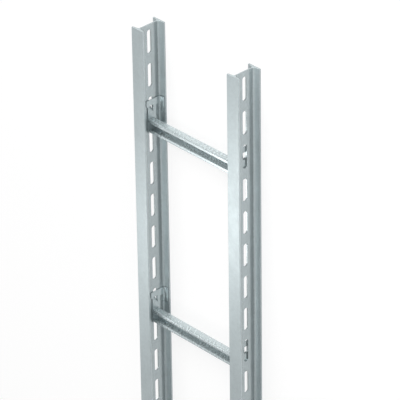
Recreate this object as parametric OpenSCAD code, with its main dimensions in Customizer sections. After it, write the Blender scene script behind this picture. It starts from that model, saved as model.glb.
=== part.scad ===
// Heavy-duty cable ladder section: two rolled taper-flange I rails with slotted webs,
// C-section rungs, and a pressed bracket where each rung end meets a rail.
// It lies on its back: X runs across, Y along the rails, and Z up to the rails' front faces.
// The origin is on the floor, midway between the rails and midway along them.

/* [Ladder] */
// Length of the section
ladder_len = 3000; // [1200:100:6000]
// Width over the outer edges of both rails
ladder_w = 400; // [300:10:900]

/* [Rails] */
// Height of the I-section, from flange face to flange face
rail_h = 80; // [72:1:120]
// Width of each flange
flange_w = 42; // [40:1:56]
// Thickness of each flange, halfway from the rail's middle to its edge
flange_t = 5.9; // [5:0.1:7]
// Slope of each flange's inner face, in degrees
flange_taper = 8; // [2:0.5:9]
// Thickness of the web
web_t = 3.9; // [3:0.1:6]
// Radius where the web meets a flange
root_r = 6; // [3:0.5:7]

/* [Web slots] */
// Length of a slot, from end to end
slot_len = 70; // [60:1:78]
// Width of a slot
slot_w = 14; // [11:0.5:18]
// Distance from one slot's centre to the next
slot_pitch = 100; // [95:5:140]

/* [Rungs] */
// Slot pitches from one rung to the next
pitches_per_rung = 6; // [2:1:9]
// Slot pitches from the top end to the first rung
pitches_to_rung = 3; // [1:1:5]
// Width of the C-section, along the rails
rung_w = 40; // [36:1:50]
// Depth of the C-section, from its back to its lips
rung_d = 21; // [18:1:30]
// Wall thickness of the C-section
rung_t = 2; // [1.5:0.1:2.5]
// Inside radius of its bends
rung_bend_r = 1; // [0.5:0.1:1.5]
// Opening between its lips
rung_mouth = 20; // [14:1:24]

/* [End brackets] */
// Sheet thickness of a bracket
plate_t = 2.5; // [2:0.1:3.5]
// Gap between the slot's far end and the plate's top edge
top_gap = 8; // [4:0.5:12]
// Rise of the plate's front edge past the rung's open front
front_rise = 2; // [0:0.5:5]
// Rise of the ear at the plate's top corner past the rung's open front
ear_rise = 6.5; // [5:0.5:10]
// Width of that ear, along the rail
ear_w = 17; // [8:1:24]
// Drop of the plate's rear edge below the rung's back
rear_drop = 6; // [0:0.5:9]
// Width of the neck that joins the tab to the plate, along the rail
neck_w = 22; // [12:1:30]
// Length of the tab on the rear flange, along the rail
tab_len = 46; // [32:1:60]
// Reach of the tab over the flange, from the web's face
tab_reach = 16; // [12:0.5:17]
// Length of the spigot that a rung is pushed over
spigot_len = 30; // [15:1:45]
// Gap between the spigot and the inside of the rung
spigot_gap = 0.3; // [0.2:0.05:0.5]

/* [Bracket tongue] */
// Gap between the tongue and each side of the slot
tongue_gap = 0.75; // [0.5:0.05:1.5]
// Distance of the tongue's root from the slot's centre, towards the rung
tongue_root = 12; // [8:0.5:16]
// Straight length of the tongue
tongue_leg = 14; // [10:0.5:18]
// Bend of the tongue out of the plate, in degrees
tongue_angle = 40; // [30:1:50]
// Inside radius of every bend in the bracket
bracket_bend_r = 2; // [1:0.5:4]
// Length of the window that the tongue leaves in the plate
window_len = 22; // [18:0.5:24]
// Width of the cut beside the tongue
lance_gap = 0.6; // [0.3:0.1:1.5]

/* [Hidden] */
$fn = 48;
galvanised = "#b4bbbd";
galvanised_dull = "#a3abae";
// Overlap that makes a cut pass cleanly through a face
cut = 1;
// Centre of each web, measured from the middle of the ladder
web_x = (ladder_w - flange_w) / 2;
mid_z = rail_h / 2;
slot_count = floor(ladder_len / slot_pitch);
rung_pitch = pitches_per_rung * slot_pitch;
first_rung = pitches_to_rung * slot_pitch;
rung_len = 2 * (web_x - web_t / 2 - plate_t);
rung_outer_r = rung_bend_r + rung_t;
rung_back_z = mid_z - rung_d / 2;
rung_front_z = mid_z + rung_d / 2;
// Slant of a flange's inner face, and the flange's thickness at the web's face
slant = tan(flange_taper);
flange_root_t = flange_t + (flange_w / 4 - web_t / 2) * slant;
// The tab's outer bend clears the rolled radius of the rail
tab_bend_r = max(root_r + 0.5 - plate_t, bracket_bend_r);
tab_outer_r = tab_bend_r + plate_t;
// Where the tab's bend leaves the plate
tab_bend_z = corner_centre(tab_outer_r).y;
plate_top = (slot_pitch + slot_len) / 2 - top_gap;
plate_front_z = rung_front_z + front_rise;
ear_z = rung_front_z + ear_rise;
plate_rear_z = rung_back_z - rear_drop;
tongue_w = slot_w - 2 * tongue_gap;
tongue_y = slot_pitch / 2 - tongue_root;

// Place along the rails of rung number i, counted from the top end
function rung_y(i) = ladder_len / 2 - first_rung - (i - 1) * rung_pitch;

// Rectangle centred on the origin, with round corners
module rounded_rect(size, r) {
    square([size.x - 2 * r, size.y], center = true);
    square([size.x, size.y - 2 * r], center = true);
    for (x = [-1, 1] * (size.x / 2 - r), y = [-1, 1] * (size.y / 2 - r))
        translate([x, y]) circle(r);
}

// Slot outline centred on the origin, with round ends, along Y
module slot_outline(len, width) {
    square([width, len - width], center = true);
    for (y = [-1, 1] * (len - width) / 2)
        translate([0, y]) circle(d = width);
}

// Centre of an arc that touches both the web's face, at X = 0, and the slanted flange
function corner_centre(r) = [r, flange_root_t - r * slant + r / cos(flange_taper)];

// Step from that centre to where the arc touches the slanted face
function to_slant(r) = -r * [sin(flange_taper), cos(flange_taper)];

// Hollow beside the web, whose face is at X = 0, with its inner corners rounded
module side_hollow() {
    centre = corner_centre(root_r);
    touch = centre + to_slant(root_r);
    reach = (flange_w - web_t) / 2 + cut;
    mouth_y = flange_root_t - reach * slant;
    polygon([[0, centre.y], touch, [reach, mouth_y], [reach, rail_h - mouth_y],
             [touch.x, rail_h - touch.y], [0, rail_h - centre.y]]);
    for (y = [centre.y, rail_h - centre.y])
        translate([centre.x, y]) circle(root_r);
}

// I-section in X and Y, standing on its lower flange, centred on X
module rail_section() {
    difference() {
        translate([-flange_w / 2, 0]) square([flange_w, rail_h]);
        for (side = [0, 1]) mirror([side, 0]) translate([web_t / 2, 0]) side_hollow();
    }
}

module rail() {
    color(galvanised) difference() {
        rotate([90, 0, 0])
            linear_extrude(ladder_len, center = true) rail_section();
        for (i = [0 : slot_count - 1])
            translate([0, ladder_len / 2 - (i + 0.5) * slot_pitch, mid_z])
                rotate([0, 90, 0])
                    linear_extrude(web_t + 2 * cut, center = true)
                        slot_outline(slot_len, slot_w);
    }
}

// C-section in X and Y: X across its width, Y from its back to its open front
module rung_section() {
    difference() {
        rounded_rect([rung_w, rung_d], rung_outer_r);
        rounded_rect([rung_w - 2 * rung_t, rung_d - 2 * rung_t], rung_bend_r);
        translate([-rung_mouth / 2, 0]) square([rung_mouth, rung_d]);
    }
}

module rung() {
    color(galvanised) translate([0, 0, mid_z])
        rotate([90, 0, 90])
            linear_extrude(rung_len, center = true) rung_section();
}

// The pressed plate against the web, in X and Y: X along the rail, Y up the web
module plate_outline() {
    difference() {
        polygon([[-rung_w / 2, plate_rear_z], [plate_top - neck_w, plate_rear_z],
                 [plate_top - neck_w, tab_bend_z], [plate_top, tab_bend_z],
                 [plate_top, ear_z], [plate_top - ear_w, ear_z],
                 [plate_top - ear_w - (ear_z - plate_front_z), plate_front_z],
                 [-rung_w / 2, plate_front_z]]);
        translate([tongue_y, mid_z - tongue_w / 2 - lance_gap])
            square([window_len, tongue_w + 2 * lance_gap]);
    }
}

// Bend and flat tab that lie on the inside of the rear flange. The bend is longer than the
// neck that carries it.
module flange_tab() {
    leg = (tab_reach - tab_outer_r - to_slant(tab_outer_r).x) / cos(flange_taper);
    translate([tab_outer_r, plate_top, tab_bend_z])
        rotate([90, 0, 0]) mirror([1, 0, 0])
            linear_extrude(tab_len)
                bent_strip(tab_bend_r, 90 - flange_taper, plate_t / 2, leg);
}

// Edge view of a bent strip in X and Y. It leaves the plate downwards along Y at X from
// r to r + plate_t, turns through the angle about the origin, and runs on straight.
module bent_strip(r, angle, root, leg) {
    outer_r = r + plate_t;
    far = 4 * (outer_r + leg);
    difference() {
        union() {
            circle(outer_r);
            square([outer_r, root]);
            rotate(-angle) translate([0, -leg]) square([outer_r, leg]);
        }
        circle(r);
        translate([r - far, 0]) square(far);
        translate([0, root]) square(far);
        rotate(-angle) translate([r - far, -far]) square(far);
    }
}

// Strip lanced from the plate and bent out through the slot, with its free end away
// from the rung
module tongue() {
    translate([-bracket_bend_r, tongue_y, mid_z]) mirror([0, 1, 0])
        linear_extrude(tongue_w, center = true)
            bent_strip(bracket_bend_r, tongue_angle, plate_t, tongue_leg);
}

// Open channel on the plate that fills the end of the rung
module spigot() {
    width = rung_w - 2 * (rung_t + spigot_gap);
    depth = rung_d - 2 * (rung_t + spigot_gap);
    outer_r = bracket_bend_r + plate_t;
    translate([0, 0, mid_z]) rotate([90, 0, 90])
        linear_extrude(plate_t + spigot_len) difference() {
            intersection() {
                translate([0, outer_r / 2]) rounded_rect([width, depth + outer_r], outer_r);
                square([width, depth], center = true);
            }
            translate([0, bracket_bend_r])
                rounded_rect([width - 2 * plate_t, depth - 2 * plate_t + 2 * bracket_bend_r],
                             bracket_bend_r);
            translate([plate_t - width / 2, 0]) square([width - 2 * plate_t, depth]);
        }
}

// Bracket of the left rail, with the web's inner face at X = 0 and the rung's centre at Y = 0
module bracket() {
    color(galvanised_dull) {
        rotate([90, 0, 90]) linear_extrude(plate_t) plate_outline();
        flange_tab();
        tongue();
        spigot();
    }
}

module rail_left() { translate([-web_x, 0, 0]) rail(); }
module rail_right() { translate([web_x, 0, 0]) rail(); }

module rung_at(i) { translate([0, rung_y(i), 0]) rung(); }
module rung_1() { rung_at(1); }
module rung_2() { rung_at(2); }
module rung_3() { rung_at(3); }
module rung_4() { rung_at(4); }
module rung_5() { rung_at(5); }

module bracket_left(i) { translate([web_t / 2 - web_x, rung_y(i), 0]) bracket(); }
module bracket_left_1() { bracket_left(1); }
module bracket_left_2() { bracket_left(2); }
module bracket_left_3() { bracket_left(3); }
module bracket_left_4() { bracket_left(4); }
module bracket_left_5() { bracket_left(5); }

module bracket_right(i) { mirror([1, 0, 0]) bracket_left(i); }
module bracket_right_1() { bracket_right(1); }
module bracket_right_2() { bracket_right(2); }
module bracket_right_3() { bracket_right(3); }
module bracket_right_4() { bracket_right(4); }
module bracket_right_5() { bracket_right(5); }

rail_left();
rail_right();
rung_1();
rung_2();
rung_3();
rung_4();
rung_5();
bracket_left_1();
bracket_left_2();
bracket_left_3();
bracket_left_4();
bracket_left_5();
bracket_right_1();
bracket_right_2();
bracket_right_3();
bracket_right_4();
bracket_right_5();
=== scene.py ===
import math

import bmesh
import bpy
from mathutils import Matrix, Vector


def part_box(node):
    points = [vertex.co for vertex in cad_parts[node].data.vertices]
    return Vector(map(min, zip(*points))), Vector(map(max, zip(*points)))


# A heavy cable ladder section lies on its back on a white studio floor.
# The rails run along Y, the rungs along X, and the open side of every rung looks up.

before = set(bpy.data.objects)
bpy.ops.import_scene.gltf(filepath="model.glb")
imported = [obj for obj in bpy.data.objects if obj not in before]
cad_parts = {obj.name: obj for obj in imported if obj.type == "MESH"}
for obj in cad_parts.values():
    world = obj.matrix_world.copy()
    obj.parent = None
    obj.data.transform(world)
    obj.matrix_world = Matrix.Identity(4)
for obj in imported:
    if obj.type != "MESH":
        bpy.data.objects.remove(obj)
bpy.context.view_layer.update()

RUNG_COUNT = 5
RUNG_NUMBERS = range(1, RUNG_COUNT + 1)
RAILS = ["rail_left", "rail_right"]
RUNGS = [f"rung_{n}" for n in RUNG_NUMBERS]
BRACKETS = [f"bracket_{side}_{n}" for side in ("left", "right") for n in RUNG_NUMBERS]


# ---------------------------------------------------------------- camera

# The camera stands beyond the ladder's top end, to its right, and looks down on it.
CAMERA_PLACE = Vector((5.6182, 5.6575, 5.2754))
CAMERA_TURN = math.radians(46.976)
CAMERA_RISE = math.radians(31.009)
CAMERA_ROLL = math.radians(-0.861)
CAMERA_LENS = 304.70
SENSOR_WIDTH = 36.0
VIEW_REACH = 100.0


def make_camera():
    backward = Vector((math.sin(CAMERA_TURN) * math.cos(CAMERA_RISE),
                       math.sin(CAMERA_RISE),
                       math.cos(CAMERA_TURN) * math.cos(CAMERA_RISE)))
    level_right = Vector((0, 1, 0)).cross(backward).normalized()
    level_up = backward.cross(level_right)
    right = level_right * math.cos(CAMERA_ROLL) + level_up * math.sin(CAMERA_ROLL)
    up = level_up * math.cos(CAMERA_ROLL) - level_right * math.sin(CAMERA_ROLL)
    data = bpy.data.cameras.new("camera")
    data.lens = CAMERA_LENS
    data.sensor_width = SENSOR_WIDTH
    data.clip_end = VIEW_REACH
    camera = bpy.data.objects.new("camera", data)
    bpy.context.scene.collection.objects.link(camera)
    turn = Matrix((right, up, backward)).transposed()
    camera.matrix_world = Matrix.Translation(CAMERA_PLACE) @ turn.to_4x4()
    bpy.context.scene.camera = camera


# ---------------------------------------------------------------- node helpers

def grey(level):
    return (level, level, level, 1.0)


def new_material(name):
    material = bpy.data.materials.new(name)
    material.use_nodes = True
    return material, material.node_tree


def new_group(name, inputs, outputs):
    """A shader node group with float sockets: inputs by name and value, outputs by name."""
    tree = bpy.data.node_groups.new(name, "ShaderNodeTree")
    for socket_name, value in inputs.items():
        socket = tree.interface.new_socket(name=socket_name, in_out="INPUT",
                                           socket_type="NodeSocketFloat")
        socket.default_value = value
    for socket_name in outputs:
        tree.interface.new_socket(name=socket_name, in_out="OUTPUT",
                                  socket_type="NodeSocketFloat")
    entry = tree.nodes.new("NodeGroupInput")
    leave = tree.nodes.new("NodeGroupOutput")
    return tree, entry.outputs, leave.inputs


def use_group(tree, group):
    node = tree.nodes.new("ShaderNodeGroup")
    node.node_tree = group
    return node.outputs


def math_node(tree, operation, a, b=None, clamp=False):
    node = tree.nodes.new("ShaderNodeMath")
    node.operation = operation
    node.use_clamp = clamp
    for socket, value in zip(node.inputs, (a, b)):
        if value is None:
            continue
        if isinstance(value, (int, float)):
            socket.default_value = value
        else:
            tree.links.new(value, socket)
    return node.outputs[0]


def scaled_swing(tree, value, depth):
    """A value about one half, as a swing about zero of the given depth."""
    return math_node(tree, "MULTIPLY", math_node(tree, "SUBTRACT", value, 0.5), depth)


def smooth_change(tree, value, start, end, before, after):
    node = tree.nodes.new("ShaderNodeMapRange")
    node.interpolation_type = "SMOOTHSTEP"
    node.inputs["From Min"].default_value = start
    node.inputs["From Max"].default_value = end
    node.inputs["To Min"].default_value = before
    node.inputs["To Max"].default_value = after
    tree.links.new(value, node.inputs["Value"])
    return node.outputs["Result"]


def distance_mask(tree, value, centre, core, reach):
    """1 within core of the centre, falling to 0 at reach."""
    offset = math_node(tree, "ABSOLUTE", math_node(tree, "SUBTRACT", value, centre))
    return smooth_change(tree, offset, core, reach, 1.0, 0.0)


def object_place(tree):
    return tree.nodes.new("ShaderNodeTexCoord").outputs["Object"]


def noise(tree, place, scale, detail, roughness=0.5):
    node = tree.nodes.new("ShaderNodeTexNoise")
    node.inputs["Scale"].default_value = scale
    node.inputs["Detail"].default_value = detail
    node.inputs["Roughness"].default_value = roughness
    tree.links.new(place, node.inputs["Vector"])
    return node.outputs["Fac"]


# ---------------------------------------------------------------- studio

FLOOR_REACH = 60.0
FLOOR_ALBEDO = 0.80
# Where the eye or a reflection meets the floor, most of its white is its own.
FLOOR_SHOWN_ALBEDO = 0.20
FLOOR_SHOWN_GLOW = 0.80

# Name, what it aims at, direction from there, distance, size and power
LIGHTS = [
    # It comes from beyond the top end, and lights the upper faces of the rungs
    ("key_softbox", (0.0, 0.95, 0.05), (-0.10, 0.85, 0.5), 4.5, 2.4, 150.0),
    # It reaches in under the front flanges, from the right
    ("side_softbox", (0.18, 1.22, 0.02), (0.75, 0.10, 0.65), 1.2, 0.5, 4.5),
    # Its soft glint lies halfway down the rails' front faces
    ("face_softbox", (0.18, 1.14, 0.08), (-0.607, -0.523, 0.598), 2.0, 0.45, 2.25),
    # The rear flanges mirror this one by way of the webs
    ("slope_softbox", (-0.3, 1.08, 0.01), (0.428, -0.508, 0.746), 5.0, 0.9, 19.0),
]

WORLD_LEVEL = 0.555
# A dark flag stands in the room on this side, and keeps the rails' hollows from washing out.
FLAG_SIDE = (0.62, -0.45, 0.64)
FLAG_LEVEL = 0.10
# Cosines of the angles from that side at which the flag starts and is full
FLAG_EDGE = 0.85
FLAG_CORE = 0.97


def floor_material():
    material, tree = new_material("studio_white")
    nodes = tree.nodes
    links = tree.links
    nodes.clear()
    path = nodes.new("ShaderNodeLightPath").outputs
    seen = math_node(tree, "MAXIMUM", path["Is Camera Ray"], path["Is Glossy Ray"])
    shown = math_node(tree, "MAXIMUM", seen, path["Is Transmission Ray"])
    plain = nodes.new("ShaderNodeBsdfDiffuse")
    plain.inputs["Color"].default_value = grey(FLOOR_ALBEDO)
    faint = nodes.new("ShaderNodeBsdfDiffuse")
    faint.inputs["Color"].default_value = grey(FLOOR_SHOWN_ALBEDO)
    glow = nodes.new("ShaderNodeEmission")
    glow.inputs["Color"].default_value = grey(1.0)
    glow.inputs["Strength"].default_value = FLOOR_SHOWN_GLOW
    both = nodes.new("ShaderNodeAddShader")
    links.new(faint.outputs[0], both.inputs[0])
    links.new(glow.outputs[0], both.inputs[1])
    choice = nodes.new("ShaderNodeMixShader")
    links.new(shown, choice.inputs[0])
    links.new(plain.outputs[0], choice.inputs[1])
    links.new(both.outputs[0], choice.inputs[2])
    output = nodes.new("ShaderNodeOutputMaterial")
    links.new(choice.outputs[0], output.inputs["Surface"])
    return material


def make_floor():
    mesh = bmesh.new()
    bmesh.ops.create_grid(mesh, x_segments=1, y_segments=1, size=FLOOR_REACH)
    data = bpy.data.meshes.new("studio_floor")
    mesh.to_mesh(data)
    mesh.free()
    floor = bpy.data.objects.new("studio_floor", data)
    bpy.context.scene.collection.objects.link(floor)
    data.materials.append(floor_material())


def make_lights():
    for name, aim, direction, distance, size, power in LIGHTS:
        data = bpy.data.lights.new(name, "AREA")
        data.shape = "DISK"
        data.size = size
        data.energy = power
        lamp = bpy.data.objects.new(name, data)
        bpy.context.scene.collection.objects.link(lamp)
        toward = Vector(direction).normalized()
        lamp.location = Vector(aim) + toward * distance
        lamp.rotation_mode = "QUATERNION"
        lamp.rotation_quaternion = toward.to_track_quat("Z", "Y")


def make_world():
    world = bpy.data.worlds.new("studio")
    bpy.context.scene.world = world
    world.use_nodes = True
    tree = world.node_tree
    nodes = tree.nodes
    links = tree.links
    nodes.clear()
    side = nodes.new("ShaderNodeVectorMath")
    side.operation = "DOT_PRODUCT"
    side.inputs[1].default_value = FLAG_SIDE
    links.new(nodes.new("ShaderNodeTexCoord").outputs["Generated"], side.inputs[0])
    level = smooth_change(tree, side.outputs["Value"], FLAG_EDGE, FLAG_CORE,
                          WORLD_LEVEL, FLAG_LEVEL)
    pick = nodes.new("ShaderNodeMix")
    links.new(nodes.new("ShaderNodeLightPath").outputs["Is Camera Ray"], pick.inputs["Factor"])
    links.new(level, pick.inputs["A"])
    pick.inputs["B"].default_value = 1.0
    background = nodes.new("ShaderNodeBackground")
    background.inputs["Color"].default_value = grey(1.0)
    links.new(pick.outputs["Result"], background.inputs["Strength"])
    output = nodes.new("ShaderNodeOutputWorld")
    links.new(background.outputs[0], output.inputs["Surface"])


# ---------------------------------------------------------------- zinc finishes

# Scales are waves per metre: clouds about 70 mm across, grit about 2 mm.
CLOUD_SCALE = 14.0
PATCH_SCALE = 62.0
FACET_SCALE = 170.0
GRIT_SCALE = 420.0
CLOUD_DEPTH = 0.10
FACET_DEPTH = 0.05
GRIT_DEPTH = 0.10
CLOUD_DULLNESS = 0.12
FACET_DULLNESS = 0.05
GRIT_HEIGHT = 0.5

LINE_SCALE = 260.0
LINE_STRETCH = 0.03
LINE_DEPTH = 0.06

# Painted shade in corners: how far it looks for nearby faces, how deep it darkens the colour,
# and its samples
CORNER_SHADE_REACH = 0.006
CORNER_SHADE_DEPTH = 0.25
CORNER_SHADE_SAMPLES = 8

# How much painted shade darkens the webs, and how much smoother they are than the flanges
WEB_PAINTED_SHADE = 0.12
WEB_SMOOTHING = 0.17
# Half the web's thickness and half its clear height, and where its finish has faded out
WEB_HALF_THICKNESS = 0.003
WEB_FADE_ACROSS = 0.006
WEB_HALF_HEIGHT = 0.028
WEB_FADE_HEIGHT = 0.031

METALLIC = 0.6
EDGE_RADIUS = 0.0008
EDGE_SAMPLES = 6
RELIEF_HEIGHT = 0.00005
RELIEF_STRENGTH = 0.6

RAIL_COLOUR = (0.483, 0.546, 0.560)
RAIL_ROUGHNESS = 0.26
RUNG_COLOUR = (0.565, 0.632, 0.645)
RUNG_ROUGHNESS = 0.18
BRACKET_COLOUR = (0.455, 0.520, 0.534)
BRACKET_ROUGHNESS = 0.12


def build_zinc_bloom():
    """Dull clouds, faint crystal facets and fine grit of a hot-dip zinc coat."""
    tree, entry, leave = new_group(
        "zinc_bloom",
        {"Cloud Depth": CLOUD_DEPTH, "Facet Depth": FACET_DEPTH, "Grit Depth": GRIT_DEPTH},
        ["Tone", "Roughness", "Height"])
    place = object_place(tree)
    clouds = noise(tree, place, CLOUD_SCALE, detail=4.0)
    patches = noise(tree, place, PATCH_SCALE, detail=3.0)
    grit = noise(tree, place, GRIT_SCALE, detail=2.0)
    facets = tree.nodes.new("ShaderNodeTexVoronoi")
    facets.inputs["Scale"].default_value = FACET_SCALE
    tree.links.new(place, facets.inputs["Vector"])
    facet_tone = tree.nodes.new("ShaderNodeSeparateColor")
    tree.links.new(facets.outputs["Color"], facet_tone.inputs["Color"])
    cloud_part = scaled_swing(tree, clouds, entry["Cloud Depth"])
    patch_part = scaled_swing(tree, patches, entry["Cloud Depth"])
    facet_part = scaled_swing(tree, facet_tone.outputs["Red"], entry["Facet Depth"])
    grit_part = scaled_swing(tree, grit, entry["Grit Depth"])
    tone = math_node(tree, "ADD", math_node(tree, "ADD", cloud_part, patch_part),
                     math_node(tree, "ADD", facet_part, grit_part))
    tree.links.new(math_node(tree, "ADD", tone, 1.0), leave["Tone"])
    cloud_dullness = math_node(tree, "MULTIPLY", clouds, CLOUD_DULLNESS)
    facet_dullness = math_node(tree, "MULTIPLY", facet_tone.outputs["Green"], FACET_DULLNESS)
    tree.links.new(math_node(tree, "ADD", cloud_dullness, facet_dullness), leave["Roughness"])
    height = math_node(tree, "ADD", math_node(tree, "MULTIPLY", grit, GRIT_HEIGHT), patches)
    tree.links.new(height, leave["Height"])
    return tree


def build_draw_lines(name, along):
    """Faint lines along the direction in which the steel was rolled."""
    tree, entry, leave = new_group(name, {"Depth": LINE_DEPTH}, ["Tone", "Height"])
    stretch = tree.nodes.new("ShaderNodeMapping")
    stretch.inputs["Scale"].default_value = [LINE_STRETCH if axis == along else 1.0
                                             for axis in range(3)]
    tree.links.new(object_place(tree), stretch.inputs["Vector"])
    lines = noise(tree, stretch.outputs["Vector"], LINE_SCALE, detail=3.0, roughness=0.6)
    tone = scaled_swing(tree, lines, entry["Depth"])
    tree.links.new(math_node(tree, "ADD", tone, 1.0), leave["Tone"])
    tree.links.new(lines, leave["Height"])
    return tree


def build_painted_corner_shade():
    """Painted shade that darkens the colour where faces meet."""
    tree, entry, leave = new_group("painted_corner_shade", {"Reach": CORNER_SHADE_REACH, "Depth": CORNER_SHADE_DEPTH},
                                   ["Tone"])
    corner = tree.nodes.new("ShaderNodeAmbientOcclusion")
    corner.samples = CORNER_SHADE_SAMPLES
    tree.links.new(entry["Reach"], corner.inputs["Distance"])
    hidden = math_node(tree, "SUBTRACT", 1.0, corner.outputs["AO"])
    kept = math_node(tree, "MULTIPLY", hidden, entry["Depth"])
    tree.links.new(math_node(tree, "SUBTRACT", 1.0, kept, clamp=True), leave["Tone"])
    return tree


def build_web_smoothing_and_shade():
    """The webs of both rails are smoother than the flanges, and a painted shade makes them a
    little darker.
    """
    tree, entry, leave = new_group(
        "web_smoothing_and_shade", {"Painted Shade": WEB_PAINTED_SHADE, "Smoothing": WEB_SMOOTHING},
        ["Tone", "Smoothing"])
    low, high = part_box("rail_right")
    web_x = (low[0] + high[0]) / 2
    mid_z = (low[2] + high[2]) / 2
    place = tree.nodes.new("ShaderNodeSeparateXYZ")
    tree.links.new(object_place(tree), place.inputs[0])
    across = math_node(tree, "ABSOLUTE", place.outputs["X"])
    near_web = distance_mask(tree, across, web_x, WEB_HALF_THICKNESS, WEB_FADE_ACROSS)
    between_flanges = distance_mask(tree, place.outputs["Z"], mid_z,
                                    WEB_HALF_HEIGHT, WEB_FADE_HEIGHT)
    on_web = math_node(tree, "MULTIPLY", near_web, between_flanges)
    # Painted shade: the web's colour is darkened
    loss = math_node(tree, "MULTIPLY", on_web, entry["Painted Shade"])
    tree.links.new(math_node(tree, "SUBTRACT", 1.0, loss), leave["Tone"])
    tree.links.new(math_node(tree, "MULTIPLY", on_web, entry["Smoothing"]), leave["Smoothing"])
    return tree


def zinc_material(name, colour, roughness, bloom, lines, corner_shade_group, web_smoothing_and_shade=None):
    material, tree = new_material(name)
    nodes = tree.nodes
    links = tree.links
    shader = nodes["Principled BSDF"]
    shader.inputs["Metallic"].default_value = METALLIC
    coat = use_group(tree, bloom)
    rolled = use_group(tree, lines)
    # Painted shade darkens the colour where faces meet
    corner_shade_tone = use_group(tree, corner_shade_group)
    tone = math_node(tree, "MULTIPLY",
                     math_node(tree, "MULTIPLY", coat["Tone"], rolled["Tone"]), corner_shade_tone["Tone"])
    dullness = math_node(tree, "ADD", coat["Roughness"], roughness)
    if web_smoothing_and_shade:
        # The webs get a smoother finish and a painted shade
        web = use_group(tree, web_smoothing_and_shade)
        tone = math_node(tree, "MULTIPLY", tone, web["Tone"])
        dullness = math_node(tree, "SUBTRACT", dullness, web["Smoothing"])
    tint = nodes.new("ShaderNodeVectorMath")
    tint.operation = "SCALE"
    tint.inputs[0].default_value = colour
    links.new(tone, tint.inputs["Scale"])
    links.new(tint.outputs["Vector"], shader.inputs["Base Color"])
    links.new(dullness, shader.inputs["Roughness"])
    rounded = nodes.new("ShaderNodeBevel")
    rounded.samples = EDGE_SAMPLES
    rounded.inputs["Radius"].default_value = EDGE_RADIUS
    relief = nodes.new("ShaderNodeBump")
    relief.inputs["Distance"].default_value = RELIEF_HEIGHT
    relief.inputs["Strength"].default_value = RELIEF_STRENGTH
    links.new(math_node(tree, "ADD", coat["Height"], rolled["Height"]), relief.inputs["Height"])
    links.new(rounded.outputs["Normal"], relief.inputs["Normal"])
    links.new(relief.outputs["Normal"], shader.inputs["Normal"])
    return material


ALONG_X, ALONG_Y = 0, 1


def dress_steel():
    bloom = build_zinc_bloom()
    rail_lines = build_draw_lines("rolling_lines_along_rail", ALONG_Y)
    rung_lines = build_draw_lines("rolling_lines_along_rung", ALONG_X)
    # Painted shade where faces meet, shared by all the steel
    corner_shade_group = build_painted_corner_shade()
    rail = zinc_material("rail_zinc", RAIL_COLOUR, RAIL_ROUGHNESS, bloom, rail_lines, corner_shade_group,
                         build_web_smoothing_and_shade())
    rung = zinc_material("rung_zinc", RUNG_COLOUR, RUNG_ROUGHNESS, bloom, rung_lines, corner_shade_group)
    bracket = zinc_material("bracket_zinc", BRACKET_COLOUR, BRACKET_ROUGHNESS, bloom,
                            rail_lines, corner_shade_group)
    for names, material in ((RAILS, rail), (RUNGS, rung), (BRACKETS, bracket)):
        for name in names:
            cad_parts[name].data.materials.clear()
            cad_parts[name].data.materials.append(material)


# ---------------------------------------------------------------- the scene

bpy.context.scene.view_settings.view_transform = "Standard"
make_camera()
make_world()
make_lights()
make_floor()
dress_steel()
